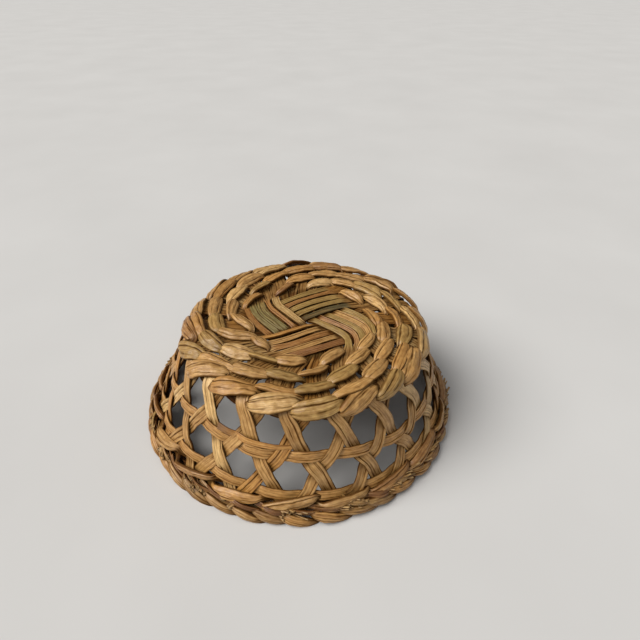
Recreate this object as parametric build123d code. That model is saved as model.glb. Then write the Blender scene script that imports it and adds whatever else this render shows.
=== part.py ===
from build123d import *
import os
from math import atan2, cos, hypot, pi, radians, sin

# Round tapered openwork piece, hand woven from rush leaf and standing on its rim.
# A closed flat crown, an open hexagonal wall and a rolled rim are made from twenty long
# leaves: each runs from the rim, up the wall, across the crown and down the other side.
# Millimetres and degrees, +Z up. The origin is under the rim's centre, on the resting plane.
# "s" runs up the wall's slope, from 0 at the foot to 1 at the crown's edge.

# Overall size
RIM_OUTER_R = 120.0
RIM_REACH = 5.2  # how far the rolled rim stands out beyond the wall's foot
WALL_FOOT_R = RIM_OUTER_R - RIM_REACH
WALL_FOOT_Z = -2.2  # low enough for the rolled rim to be pressed flat where it rests
WALL_TOP_R = 89.0
WALL_TOP_Z = 70.0
CROWN_Z = 72.0
CROWN_LEAN = 6.4  # the crown sits this far towards +X of the rim's centre

# Long leaves
LEAVES_PER_WAY = 10
END_COUNT = 4 * LEAVES_PER_WAY
END_STEP = 360 / END_COUNT
QUARTER = END_STEP * LEAVES_PER_WAY
PAIR_COUNT = END_COUNT // 2
PAIR_STEP = 2 * END_STEP
FIRST_END = 2.5
LEAF_T = 1.2
CENTRE_LEAF_W = 6.0
ROW_LEAF_W = 4.8
WALL_LEAF_W = 6.0
CLEARANCE = 0.35
OVER = (LEAF_T + CLEARANCE) / 2  # how far a leaf steps out, or in, where it crosses another

# Plain-woven centre: two bundles of five leaves each way, along two headings
FRONT_HEADING = 297
BACK_HEADING = 27
BUNDLE_PITCH = 6.4
BUNDLE_GAP = 1.2
CENTRE_MARGIN = 1.4
CENTRE_REACH = BUNDLE_GAP + BUNDLE_PITCH * LEAVES_PER_WAY / 2 + CENTRE_MARGIN

# Hexagonal wall: the leaves lean both ways and cross at evenly spaced levels
WALL_TURN = 26.0  # degrees that a leaf travels round the wall from top to foot
LEVEL_STEP = END_STEP / 2 / WALL_TURN
LEVEL_COUNT = 5
CROSSING_HALF = 0.067
HOOP_STRETCH = 1.2  # a hoop stays over a slanting leaf for this much longer than a leaf does
BELOW_EDGE_S = 0.945
BELOW_EDGE_TILT = radians(31)

# Woven rows of the crown, each a single strand over one pair of leaves and under the next:
# radius, width where it passes over, half the distance between the leaves of a pair there
WOVEN_ROWS = [
    (51.6, 5.8, 2.8),
    (58.8, 8.4, 2.8),
    (66.0, 8.8, 2.8),
    (73.2, 8.8, 2.9),
    (80.2, 8.0, 4.1),
]
WOVEN_NECK_W = 3.8
WOVEN_GAP_W = 3.4
WOVEN_SLANT = 1.2
WOVEN_OVER_REACH = 6.8  # degrees on each side of a pair that the strand stays on top
LEAVING_CENTRE = (49.0, 3.2)  # radius and half pair spacing where the leaves leave the centre
BEFORE_EDGE = (83.2, 5.4)  # the same just inside the edge row

# Twined rows: two strands that change places in every gap, at the crown's edge and at the rim
STRAND_T = 2.7
STRAND_NECK_W = 4.2
STRAND_GAP_W = 3.8
STRAND_SLANT = 2.4
SHOULDER = 0.88  # width halfway to a strand's neck, as a share of its full width
STRAND_TOP = 0.55  # width of a strand's flat top, as a share of its full width
UNDER_STRAND_W = 6.0
PAIR_MARGIN = 0.5
END_GAP = 0.25  # degrees between a strand's two ends
LONGEST_REACH = 0.40 * PAIR_STEP
ROW_LIFT = (LEAF_T + STRAND_T) / 2 + CLEARANCE
EDGE_ROW_R = 87.6
EDGE_ROW_Z = 70.4
EDGE_ROW_TILT = radians(33)
EDGE_ROW_W = 10.0
EDGE_ROW_HALF_PAIR = 6.95
EDGE_ROW_LIFTS = (ROW_LIFT + 0.4, 4.8)  # over and under the leaves
RIM_ROW_S = 0.205
RIM_ROW_W = 8.0
RIM_ROW_HALF_PAIR = 10.2
RIM_ROW_LIFTS = (3.05, 3.1)

# Rolled rim: the forty leaf ends lie over each other like the turns of a rope
ROLL_S = 0.055
ROLL_OUT = 4.1
ROLL_SPAN = 14.0
ROLL_STEP = 2.9
ROLL_HALF_W = 2.6
ROLL_STATIONS = 8
ROLL_TAPER = 0.1  # the taper at each end, as a share of the half wave of the swelling
ROLL_THIN = 0.55
ROLL_THICK = 0.35

# Leaf ends laid along the rim on the inside, behind the trimmed tips
BAND_S = 0.113
BAND_OUT = -2.75
BAND_W = 4.4
BAND_T = 1.8
BAND_STATIONS = 80

# Trimmed tips that show between the rolled rim and the row above it
TIP_S = 0.127
TIP_FOOT = 1.6
TIP_HEIGHT = 3.0
TIP_HALF = (1.7, 1.2)
TIP_SPREAD = 2.1
TIP_SHRINK = 0.3

WALL_SLOPE = atan2(WALL_FOOT_R - WALL_TOP_R, WALL_TOP_Z - WALL_FOOT_Z)
WALL_LENGTH = hypot(WALL_FOOT_R - WALL_TOP_R, WALL_TOP_Z - WALL_FOOT_Z)


def radial(angle):
    """Unit vector away from the axis."""
    return Vector(cos(radians(angle)), sin(radians(angle)), 0)


def tangential(angle):
    """Unit vector round the axis, towards larger angles."""
    return Vector(-sin(radians(angle)), cos(radians(angle)), 0)


def degrees_at(length, radius):
    """The angle that a length takes up on a circle."""
    return length / radius * 180 / pi


def wall_normal(angle):
    return radial(angle) * cos(WALL_SLOPE) + Vector(0, 0, sin(WALL_SLOPE))


def wall_upward(angle):
    """Unit vector up the wall's slope."""
    return Vector(0, 0, cos(WALL_SLOPE)) - radial(angle) * sin(WALL_SLOPE)


def wall_point(angle, s, out=0.0):
    """A point of the wall, moved outwards by out."""
    radius = WALL_FOOT_R + (WALL_TOP_R - WALL_FOOT_R) * s
    height = WALL_FOOT_Z + (WALL_TOP_Z - WALL_FOOT_Z) * s
    lean = CROWN_LEAN * (s - ROLL_S) / (1 - ROLL_S)
    base = Vector(lean, 0, height) + radial(angle) * radius
    return base + wall_normal(angle) * out


def crown_point(radius, angle, height):
    return Vector(CROWN_LEAN, 0, height) + radial(angle) * radius


def flat_outline(point, across, normal, half_w, half_t):
    """Four-sided section of a flat leaf."""
    side = across * half_w
    face = normal * half_t
    corners = [point + side + face, point - side + face, point - side - face, point + side - face]
    return Wire.make_polygon(corners, close=True)


def plump_outline(point, across, normal, half_w, half_t):
    """Six-sided section of a gathered strand."""
    side = across * half_w
    shoulder = across * (STRAND_TOP * half_w)
    face = normal * half_t
    corners = [
        point + side,
        point + shoulder + face,
        point - shoulder + face,
        point - side,
        point - shoulder - face,
        point + shoulder - face,
    ]
    return Wire.make_polygon(corners, close=True)


def leaf_solid(stations):
    """A flat leaf through stations of (point, normal, width)."""
    outlines = []
    last = len(stations) - 1
    for index, (point, normal, width) in enumerate(stations):
        before = stations[max(index - 1, 0)][0]
        after = stations[min(index + 1, last)][0]
        across = normal.cross(after - before).normalized()
        outlines.append(flat_outline(point, across, normal, width / 2, LEAF_T / 2))
    return Solid.make_loft(outlines, ruled=True)


def end_lean(number):
    """+1 for an end that goes to larger angles on its way down the wall, else -1."""
    return 1 if number % 2 else -1


def end_angle(number, s):
    return FIRST_END + END_STEP * number + end_lean(number) * WALL_TURN * (1 - s)


def pair_angle(number):
    """The middle of the pair that this end belongs to in the crown."""
    return FIRST_END + END_STEP * (number - number % 2 + 0.5)


def crown_end_angle(number, radius, half_spacing):
    """Angle of an end that is held in its pair, half_spacing from the pair's middle."""
    return pair_angle(number) + end_lean(number) * degrees_at(half_spacing, radius)


def wall_stations(number):
    """One end's run down the wall, from the crown's edge to behind the rolled rim."""
    stations = []
    lean = end_lean(number)
    for level in range(1, LEVEL_COUNT + 1):
        crosses_leaf = level % 2 == 1
        out = OVER * lean * (1 if crosses_leaf else -1)
        middle = 1 - LEVEL_STEP * level
        for s in (middle + CROSSING_HALF, middle - CROSSING_HALF):
            angle = end_angle(number, s)
            stations.append((wall_point(angle, s, out), wall_normal(angle), WALL_LEAF_W))
    return stations


def crown_stations(number):
    """One end's run out from the woven centre, through the rows and over the edge."""
    stations = []
    rows = [(radius, half_spacing) for radius, _, half_spacing in WOVEN_ROWS]
    for radius, half_spacing in [LEAVING_CENTRE] + rows + [BEFORE_EDGE]:
        angle = crown_end_angle(number, radius, half_spacing)
        stations.append((crown_point(radius, angle, CROWN_Z), Vector(0, 0, 1), ROW_LEAF_W))
    angle = crown_end_angle(number, EDGE_ROW_R, EDGE_ROW_HALF_PAIR)
    edge_normal = radial(angle) * sin(EDGE_ROW_TILT) + Vector(0, 0, cos(EDGE_ROW_TILT))
    stations.append((crown_point(EDGE_ROW_R, angle, EDGE_ROW_Z), edge_normal, ROW_LEAF_W))
    angle = end_angle(number, 1)
    tilted = radial(angle) * cos(BELOW_EDGE_TILT) + Vector(0, 0, sin(BELOW_EDGE_TILT))
    stations.append((wall_point(angle, BELOW_EDGE_S), tilted, ROW_LEAF_W))
    return stations


def centre_stations(heading, offset):
    """A leaf's straight run across the plain-woven centre, over one bundle and under the other."""
    forward = radial(heading)
    sideways = radial(heading + 90)
    stations = []
    for along in (-CENTRE_REACH, -BUNDLE_GAP, BUNDLE_GAP, CENTRE_REACH):
        step = OVER if along * offset > 0 else -OVER
        point = crown_point(0, 0, CROWN_Z + step) + forward * along + sideways * offset
        stations.append((point, Vector(0, 0, 1), CENTRE_LEAF_W))
    return stations


def long_leaf(heading, index):
    """One continuous leaf, from the rim over the crown to the opposite rim."""
    rank = index - LEAVES_PER_WAY / 2 + 0.5
    offset = rank * BUNDLE_PITCH + (BUNDLE_GAP if rank > 0 else -BUNDLE_GAP)
    front = round((heading - QUARTER / 2) / END_STEP) + index
    back = round((heading - QUARTER / 2 + 180) / END_STEP) + LEAVES_PER_WAY - 1 - index
    back_run = crown_stations(back) + wall_stations(back)
    front_run = crown_stations(front) + wall_stations(front)
    return leaf_solid(back_run[::-1] + centre_stations(heading, offset) + front_run)


def strand_over_and_under(frame, phase, width, reaches, lifts, slant, neck_w, gap_w):
    """A closed strand that passes over one pair of leaves and under the next.

    frame(angle) gives the row's middle point, its outward direction and its normal.
    reaches are the degrees it stays over or under on each side of a pair, and lifts its
    distances from the leaves' middle. It slants inwards over a pair and back under the next.
    """
    outlines = []

    def add(angle, aside, lift, strand_w):
        point, outward, normal = frame(angle)
        place = point - outward * aside + normal * lift
        outlines.append(plump_outline(place, outward, normal, strand_w / 2, STRAND_T / 2))

    for number in range(PAIR_COUNT):
        is_over = (number + phase) % 2 == 0
        side = 1 if is_over else -1
        top_w = width if is_over else min(width, UNDER_STRAND_W)
        reach, next_reach = reaches if is_over else reaches[::-1]
        lift = lifts[0] if is_over else -lifts[1]
        shoulder_w = SHOULDER * top_w
        stops = [(-1.0, neck_w), (-0.5, shoulder_w), (0.0, top_w), (0.5, shoulder_w), (1.0, neck_w)]
        for part, stop_w in stops:
            add(PAIR_STEP * number + part * reach, side * part * slant, lift, stop_w)
        gap_middle = (reach + PAIR_STEP - next_reach) / 2
        add(PAIR_STEP * number + gap_middle, side * slant, 0, gap_w)
    # The strand's end meets its own start, END_GAP short of it
    first = 0 if phase % 2 == 0 else 1
    side = (1, -1)[first]
    add(360 - reaches[first] - END_GAP, -side * slant, side * lifts[first], neck_w)
    return Solid.make_loft(outlines, ruled=True)


def woven_row(row_number):
    """A single-strand row of the crown; each row starts one pair on from the row inside it."""
    radius, width, half_spacing = WOVEN_ROWS[row_number]

    def frame(turn):
        angle = pair_angle(0) + turn
        return crown_point(radius, angle, CROWN_Z), radial(angle), Vector(0, 0, 1)

    under_reach = degrees_at(half_spacing + ROW_LEAF_W / 2 + PAIR_MARGIN, radius)
    reaches = (WOVEN_OVER_REACH, under_reach)
    lifts = (ROW_LIFT, ROW_LIFT)
    return strand_over_and_under(
        frame, row_number, width, reaches, lifts, WOVEN_SLANT, WOVEN_NECK_W, WOVEN_GAP_W
    )


def edge_row_strand(phase):
    """One of the two strands of the twined row that turns the weave over the crown's edge."""

    def frame(turn):
        angle = pair_angle(0) + turn
        outward = radial(angle) * cos(EDGE_ROW_TILT) - Vector(0, 0, sin(EDGE_ROW_TILT))
        normal = radial(angle) * sin(EDGE_ROW_TILT) + Vector(0, 0, cos(EDGE_ROW_TILT))
        return crown_point(EDGE_ROW_R, angle, EDGE_ROW_Z), outward, normal

    half_pair = EDGE_ROW_HALF_PAIR + ROW_LEAF_W / 2 + PAIR_MARGIN
    reach = min(degrees_at(half_pair, EDGE_ROW_R), LONGEST_REACH)
    return strand_over_and_under(
        frame, phase, EDGE_ROW_W, (reach, reach), EDGE_ROW_LIFTS, STRAND_SLANT, STRAND_NECK_W, STRAND_GAP_W
    )


def rim_row_strand(phase):
    """One of the two strands of the twined row that gathers the leaf ends above the rim."""
    first_crossing = end_angle(1, 1 - LEVEL_STEP * LEVEL_COUNT)

    def frame(turn):
        angle = first_crossing + turn
        return wall_point(angle, RIM_ROW_S), wall_upward(angle) * -1, wall_normal(angle)

    reach = min(degrees_at(RIM_ROW_HALF_PAIR, WALL_FOOT_R), LONGEST_REACH)
    return strand_over_and_under(
        frame, phase, RIM_ROW_W, (reach, reach), RIM_ROW_LIFTS, STRAND_SLANT, STRAND_NECK_W, STRAND_GAP_W
    )


def wall_hoop(level):
    """A flat hoop at a crossing level: over the leaves of one lean, under those of the other."""
    s = 1 - LEVEL_STEP * level
    middle_r = WALL_FOOT_R + (WALL_TOP_R - WALL_FOOT_R) * s
    half_angle = degrees_at(HOOP_STRETCH * CROSSING_HALF * WALL_LENGTH, middle_r)
    first = end_angle(1, s)
    outlines = []
    for number in range(END_COUNT):
        leans_right = number % 2 == 0
        out = OVER if leans_right else -OVER
        middle = first + END_STEP * number
        for angle in (middle - half_angle, middle, middle + half_angle):
            place = wall_point(angle, s, out)
            outlines.append(
                flat_outline(place, wall_upward(angle), wall_normal(angle), WALL_LEAF_W / 2, LEAF_T / 2)
            )
    return Solid.make_loft(outlines, ruled=True)


def rolled_end(number):
    """One leaf end of the rolled rim: it starts high and slides down under the next one."""
    outlines = []
    for station in range(ROLL_STATIONS):
        part = station / (ROLL_STATIONS - 1)
        angle = FIRST_END + END_STEP * number + ROLL_SPAN * (part - 0.5)
        swell = sin(pi * (ROLL_TAPER + (1 - 2 * ROLL_TAPER) * part))
        place = wall_point(angle, ROLL_S, ROLL_OUT) + wall_upward(angle) * (ROLL_STEP * (1 - 2 * part))
        half_w = ROLL_HALF_W * swell
        half_t = ROLL_HALF_W * (ROLL_THIN + ROLL_THICK * swell)
        outlines.append(plump_outline(place, wall_upward(angle), wall_normal(angle), half_w, half_t))
    turn = Solid.make_loft(outlines, ruled=True)
    return turn.split(Plane.XY, keep=Keep.TOP)


def folded_band():
    """The leaf ends laid along the inside of the rim, as one closed band."""
    outlines = []
    for station in range(BAND_STATIONS):
        angle = 360 * station / BAND_STATIONS
        place = wall_point(angle, BAND_S, BAND_OUT)
        outlines.append(
            flat_outline(place, wall_upward(angle), wall_normal(angle), BAND_W / 2, BAND_T / 2)
        )
    last = wall_point(360 - END_GAP, BAND_S, BAND_OUT)
    outlines.append(flat_outline(last, wall_upward(0), wall_normal(0), BAND_W / 2, BAND_T / 2))
    return Solid.make_loft(outlines, ruled=True)


def trimmed_tip(number):
    """One trimmed leaf tip, standing out between the rolled rim and the row above."""
    crossing = end_angle(1, 1 - LEVEL_STEP * LEVEL_COUNT) + PAIR_STEP * (number // 2)
    angle = crossing + (TIP_SPREAD if number % 2 else -TIP_SPREAD)
    outlines = []
    for part in (0, 1):
        place = wall_point(angle, TIP_S, TIP_FOOT + TIP_HEIGHT * part)
        shrink = 1 - TIP_SHRINK * part
        along = wall_upward(angle) * (TIP_HALF[1] * shrink)
        around = tangential(angle) * (TIP_HALF[0] * shrink)
        corners = [place + around + along, place - around + along]
        corners += [place - around - along, place + around - along]
        outlines.append(Wire.make_polygon(corners, close=True))
    return Solid.make_loft(outlines, ruled=True)


def make_parts():
    """Every node of the assembly by name."""
    parts = {}
    for index in range(LEAVES_PER_WAY):
        parts[f"leaf_front_right_{index + 1:02d}"] = long_leaf(FRONT_HEADING, index)
        parts[f"leaf_back_right_{index + 1:02d}"] = long_leaf(BACK_HEADING, index)
    for row_number in range(len(WOVEN_ROWS)):
        parts[f"crown_row_{row_number + 1}"] = woven_row(row_number)
    for phase, letter in enumerate("ab"):
        parts[f"edge_row_strand_{letter}"] = edge_row_strand(phase)
    parts["upper_wall_hoop"] = wall_hoop(2)
    parts["lower_wall_hoop"] = wall_hoop(4)
    for phase, letter in enumerate("ab"):
        parts[f"rim_row_strand_{letter}"] = rim_row_strand(phase)
    parts["folded_ends_band"] = folded_band()
    parts["rolled_rim_ends"] = Compound([rolled_end(number) for number in range(END_COUNT)])
    parts["trimmed_tips"] = Compound([trimmed_tip(number) for number in range(END_COUNT)])
    return parts


os.makedirs("parts", exist_ok=True)
for name, shape in make_parts().items():
    export_step(shape, f"parts/{name}.step")
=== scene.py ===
from math import atan2, cos, hypot, pi, radians, sin

import bpy
import numpy as np
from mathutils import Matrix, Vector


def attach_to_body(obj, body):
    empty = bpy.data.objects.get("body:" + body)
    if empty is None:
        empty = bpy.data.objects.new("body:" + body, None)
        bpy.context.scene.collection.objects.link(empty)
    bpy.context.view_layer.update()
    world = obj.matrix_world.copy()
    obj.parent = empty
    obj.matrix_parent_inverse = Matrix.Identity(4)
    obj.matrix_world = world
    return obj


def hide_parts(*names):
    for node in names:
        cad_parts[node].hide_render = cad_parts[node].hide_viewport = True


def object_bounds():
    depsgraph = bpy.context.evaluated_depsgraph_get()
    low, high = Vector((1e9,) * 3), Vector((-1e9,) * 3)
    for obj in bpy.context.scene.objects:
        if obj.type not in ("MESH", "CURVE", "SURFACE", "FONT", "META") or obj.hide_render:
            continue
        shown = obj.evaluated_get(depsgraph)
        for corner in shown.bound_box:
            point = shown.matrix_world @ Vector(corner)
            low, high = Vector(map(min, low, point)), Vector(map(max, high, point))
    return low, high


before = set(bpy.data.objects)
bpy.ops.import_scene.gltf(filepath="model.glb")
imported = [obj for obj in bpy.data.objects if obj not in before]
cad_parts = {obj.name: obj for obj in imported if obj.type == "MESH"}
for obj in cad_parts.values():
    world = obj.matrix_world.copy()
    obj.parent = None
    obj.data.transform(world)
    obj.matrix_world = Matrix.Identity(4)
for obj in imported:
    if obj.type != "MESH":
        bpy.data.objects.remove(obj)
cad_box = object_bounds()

# A hand-woven rush-leaf piece standing on its rim. Shapes are worked out in millimetres and
# degrees and become metres in the meshes. "path" is the distance along the woven surface
# from the crown's centre: out over the flat crown, round the edge and down the wall.
# "s" is the wall's own coordinate: 0 at its foot, 1 at the crown's edge. A direction is the
# angle round the axis, counted from +X towards +Y.
MM = 0.001

# The woven surface
RIM_R = cad_box[1][0] / MM
CROWN_LEAN = 6.4  # how far the crown sits to one side of the rim, towards +X
WALL_FOOT_R = RIM_R - 5.3
WALL_FOOT_Z = -2.2
WALL_TOP_R = 89.0
WALL_TOP_Z = 70.0
CROWN_Z = 72.0
BEND_R = 9.0  # radius of the bend from the crown to the wall
ROLL_S = 0.055  # the rolled rim's level on the wall
WALL_SLOPE = atan2(WALL_FOOT_R - WALL_TOP_R, WALL_TOP_Z - WALL_FOOT_Z)
WALL_LENGTH = hypot(WALL_FOOT_R - WALL_TOP_R, WALL_TOP_Z - WALL_FOOT_Z)
BEND_ANGLE = pi / 2 - WALL_SLOPE
BEND_END_Z = CROWN_Z - BEND_R * (1 - cos(BEND_ANGLE))
BEND_END_S = (BEND_END_Z - WALL_FOOT_Z) / (WALL_TOP_Z - WALL_FOOT_Z)
BEND_END_R = WALL_FOOT_R + (WALL_TOP_R - WALL_FOOT_R) * BEND_END_S
FLAT_R = BEND_END_R - BEND_R * sin(BEND_ANGLE)
BEND_END = FLAT_R + BEND_R * BEND_ANGLE

# The weave
LEAVES_PER_WAY = 10
END_COUNT = 4 * LEAVES_PER_WAY
END_STEP = 360 / END_COUNT
PAIR_STEP = 2 * END_STEP
PAIR_COUNT = END_COUNT // 2
FIRST_END = 2.5  # direction of end 0 at the crown's edge
FRONT_HEADING = 297
BACK_HEADING = 27
BUNDLE_PITCH = 6.4
BUNDLE_GAP = 1.2  # half the gap between the two bundles of one way
CENTRE_REACH = BUNDLE_GAP + BUNDLE_PITCH * LEAVES_PER_WAY / 2 + 1.4
LEAVING_CENTRE = 49.0  # path where an end leaves the woven centre
WALL_TURN = 26.0  # degrees that a leaf travels round the wall from top to foot
# The wall's levels, in s: at odd ones ends cross, and at even ones, where the hoops run, the
# ends are evenly apart
LEVEL_STEP = END_STEP / 2 / WALL_TURN
LEVEL_COUNT = 5
CROSSING_HALF = 0.062  # half the stretch over which a leaf stays over, or under, at a level
LEAF_T = 1.25
CENTRE_LEAF_T = 1.6
CENTRE_UNDER_WIDTH = 7.0
OVER = 0.72  # how far a leaf steps out, or in, where it crosses another
STATION_STEP = 0.8
TOP_POINTS = 27  # points of a strip's section, on its upper side and on its lower side
LOW_POINTS = 11
ABOVE_FLOOR = 0.02  # what rests on the floor is pressed flat, just clear of it

# Woven rows of the crown: path, width, and how far a row is drawn in at the front left
WOVEN_ROWS = [(51.6, 9.0, 7.0), (58.8, 10.4, 6.2), (66.0, 11.2, 4.8), (73.2, 11.0, 3.0),
              (80.4, 10.4, 1.2)]
DRAWN_IN_DIRECTION = 230
EDGE_ROW = (88.3, 12.8)
RIM_ROW_S = 0.215
RIM_ROW_WIDTH = 8.4
CROWN_SIDE_END = 88.0  # path where pairs part, and each leaf takes its own way down the wall
TUFT_DIRECTION = 352  # where a longer frayed end stands out at the rim

# At places along the path: half the distance between a pair's two leaves, and a leaf's width
PAIR_SPACING = ([49, 51.5, 66, 73.2, 80.2, 83.2, 88, 200],
                [3.3, 3.3, 3.6, 3.7, 4.3, 5.4, 6.95, 6.95])
LEAF_WIDTHS = ([46, 54, 78, 92, 100, 160], [6.6, 8.2, 8.6, 7.8, 8.8, 8.2])

# Hand weaving's unevenness, as waves of (share, waves round the axis, phase, drift along path)
SWAY = [(0.5, 3, 1.1, 0.030), (0.3, 7, -2.0, 0.05), (0.2, 12, 0.5, -0.08)]
SLIDE = [(0.5, 4, -0.7, 0.025), (0.3, 9, 0.3, -0.06)]
HEAVE = [(0.6, 3, 2.2, 0.0), (0.4, 7, 0.0, 0.04)]
SWAY_DEGREES = 0.9
SLIDE_MM = 0.9
HEAVE_MM = 0.7

# How each hoop rises, in s: overall, then places of (direction, half width in degrees, rise)
UPPER_HOOP_RISE = (-0.045, [(228, 22, 0.065), (312, 20, -0.085)])
LOWER_HOOP_RISE = (-0.010, [(230, 20, 0.040), (293, 26, -0.075)])

# How the crown's rows differ from true circles
ROW_TURN = [(0, -5.0), (60, -1.0), (120, 0.0), (180, -2.0), (223, -2.5), (259, -0.5), (277, 0.3),
            (295, -1.7), (313, -3.0), (331, -5.0)]  # direction, turn in degrees
SQUARE_DEPTH = 7.5  # the innermost rows are pulled into a square round the woven centre
OUTER_DRAW_IN = (238, 27, 4.2)  # of the outer rows: direction, half width in degrees, depth
PULLED_IN = (4.2, 2.3, 62)  # the crown's outline inside a true circle: mean, variation, direction

# The woven centre is skewed: where its two headings point, and how far the second is stretched,
# in front of its middle and behind it
BACK_TURNED = 30
FRONT_TURNED = (322, 1.18)
FRONT_TURNED_BEHIND = (311, 1.02)
CENTRE_SHIFT = (0.0, -2.2)

# Columns of a table of stations along a strip. A negative depth is in shade.
POINT, NORMAL, WIDTH, THICKNESS, TINT, DEPTH = slice(0, 3), slice(3, 6), 6, 7, slice(8, 11), 11
COLUMN_COUNT = 12

# Tints of dried rush, as sRGB bytes
TAN = (192, 147, 86)
GOLD = (194, 140, 70)
PALE = (216, 177, 116)
OLIVE = (162, 131, 70)
GREEN = (134, 120, 70)
BROWN = (144, 95, 46)
RUST = (170, 118, 58)
ROSE = (172, 124, 74)
DARK = (88, 80, 48)


def linear(tint):
    """Linear colour from sRGB bytes."""
    value = np.asarray(tint, float) / 255
    return np.where(value <= 0.04045, value / 12.92, ((value + 0.055) / 1.055) ** 2.4)


def wander(x, rng, period):
    """A smooth random curve of x between about -1 and 1."""
    value = np.zeros_like(np.asarray(x, float))
    for share, fraction in ((0.55, 1.0), (0.3, 0.47), (0.15, 0.21)):
        phase = rng.uniform(0, 2 * pi)
        stretch = rng.uniform(0.85, 1.2)
        value += share * np.sin(2 * pi * x / (period * fraction * stretch) + phase)
    return value


def ring_wave(along, rng, period, closed):
    """wander, made to repeat when the strip is a closed ring."""
    if not closed:
        return wander(along, rng, period)
    total = along[-1] + along[1] - along[0]
    turns = max(int(round(total / period)), 1)
    value = np.zeros_like(along)
    for share, factor in ((0.55, 1), (0.3, 2), (0.15, 5)):
        value += share * np.sin(2 * pi * turns * factor * along / total + rng.uniform(0, 2 * pi))
    return value


def waves(turn, path, table):
    """The sum of a table's waves round the axis, turn in radians."""
    value = 0.0
    for share, count, phase, drift in table:
        value = value + share * np.sin(count * turn + phase + drift * path)
    return value


def ramp(x, start, end):
    """0 before start and 1 past end, and a straight line between them."""
    return np.clip((x - start) / (end - start), 0, 1)


def bump(x, middle, half_width):
    """A smooth bump: 1 at the middle, falling to 0 on both sides."""
    return np.exp(-((x - middle) / half_width) ** 2)


def bump_at(angle, direction, half_width):
    """A bump round the axis."""
    return bump((angle - direction + 180) % 360 - 180, 0, half_width)


def toward(direction):
    """Unit vector in plan."""
    return np.array([cos(radians(direction)), sin(radians(direction))])


def wall_s(path):
    """The wall's coordinate s at a path."""
    return BEND_END_S - (path - BEND_END) / WALL_LENGTH


def path_at(s):
    """The path where the wall has this s."""
    return BEND_END + (BEND_END_S - s) * WALL_LENGTH


def hoop_rise(angle, overall, places):
    """How far a hoop rises above its even level, in s. See UPPER_HOOP_RISE for the values."""
    rise = overall
    for direction, half_width, height in places:
        rise = rise + height * bump_at(angle, direction, half_width)
    return rise


def hand_made(angle, path, out):
    """The unevenness of hand weaving, the same for every piece at one place."""
    turn = np.radians(angle)
    s = wall_s(path)
    upper = hoop_rise(angle, *UPPER_HOOP_RISE) * bump(s, 0.654, 0.16)
    lower = hoop_rise(angle, *LOWER_HOOP_RISE) * bump(s, 0.308, 0.11)
    past_rows = ramp(path, 104, 90)
    in_rows = ramp(path, 46, 54) * past_rows
    outer_rows = ramp(path, 56, 82) * past_rows
    square = 0.5 + 0.5 * np.cos(4 * np.radians(angle - BACK_HEADING))
    square = square * (1 - 0.55 * bump_at(angle, 342, 62))  # rounder at the right
    direction, half_width, depth = OUTER_DRAW_IN
    draw_in = SQUARE_DEPTH * square * bump(path, 50, 7.5)
    draw_in += depth * bump_at(angle, direction, half_width) * outer_rows
    places, turns = zip(*ROW_TURN)
    row_turn = np.interp(angle, places, turns, period=360) * in_rows
    # Held still in the woven centre and nearly still at the rim, free in between
    free = ramp(path, 48, 58) * np.clip(s / 0.25, 0.12, 1)
    uneven_angle = angle + SWAY_DEGREES * waves(turn, path, SWAY) * free + row_turn
    uneven_path = path - (upper + lower) * WALL_LENGTH + SLIDE_MM * waves(turn, path, SLIDE) * free
    uneven_out = out + HEAVE_MM * waves(turn, path, HEAVE) * free
    return uneven_angle, uneven_path - draw_in, uneven_out


def surface(angle, path, out, even=False):
    """Points and normals of the woven surface, moved outwards by out; even leaves it regular."""
    angle = np.asarray(angle, float)
    path = np.asarray(path, float)
    if not even:
        angle, path, out = hand_made(angle, path, out)
    bend = np.clip((path - FLAT_R) / BEND_R, 0, BEND_ANGLE)
    down = np.maximum(path - BEND_END, 0)
    radius = np.minimum(path, FLAT_R) + BEND_R * np.sin(bend) + down * cos(BEND_ANGLE)
    height = CROWN_Z - BEND_R * (1 - np.cos(bend)) - down * sin(BEND_ANGLE)
    level = (height - WALL_FOOT_Z) / (WALL_TOP_Z - WALL_FOOT_Z)
    lean = CROWN_LEAN * (np.minimum(level, 1) - ROLL_S) / (1 - ROLL_S)
    turn = np.radians(angle)
    mean, variation, direction = PULLED_IN
    pull = mean + variation * np.cos(turn - radians(direction))
    radius = radius - pull * np.clip(level, 0, 1) * np.clip(radius / WALL_TOP_R, 0, 1) ** 3
    normal = np.stack([np.sin(bend) * np.cos(turn), np.sin(bend) * np.sin(turn), np.cos(bend)], -1)
    point = np.stack([lean + radius * np.cos(turn), radius * np.sin(turn), height], -1)
    return point + normal * np.asarray(out, float)[..., None], normal


def skew_centre(points):
    """Turns the woven centre's two headings, less and less outwards, and eases the bends."""
    flat = points[:, :2] - (CROWN_LEAN, 0)
    headings = np.array([toward(BACK_HEADING), toward(FRONT_HEADING)]).T
    along_back, along_front = (flat @ np.linalg.inv(headings).T).T[..., None]
    ahead, behind = [
        stretch * toward(direction) for direction, stretch in (FRONT_TURNED, FRONT_TURNED_BEHIND)
    ]
    turned = along_back * toward(BACK_TURNED) + CENTRE_SHIFT
    turned = turned + along_front * np.where(along_front > 0, ahead, behind)
    share = 1 - ramp(np.hypot(flat[:, 0], flat[:, 1]), 30, 56)
    share = (share * share * (3 - 2 * share))[:, None]
    skewed = (flat * (1 - share) + turned * share) + (CROWN_LEAN, 0)
    from_centre = np.hypot(skewed[:, 0] - CROWN_LEAN, skewed[:, 1])
    share = ramp(from_centre, 70, 58)[:, None]
    eased = skewed * (1 - share) + soften(skewed, 7) * share
    return np.column_stack([eased, points[:, 2]])


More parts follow.
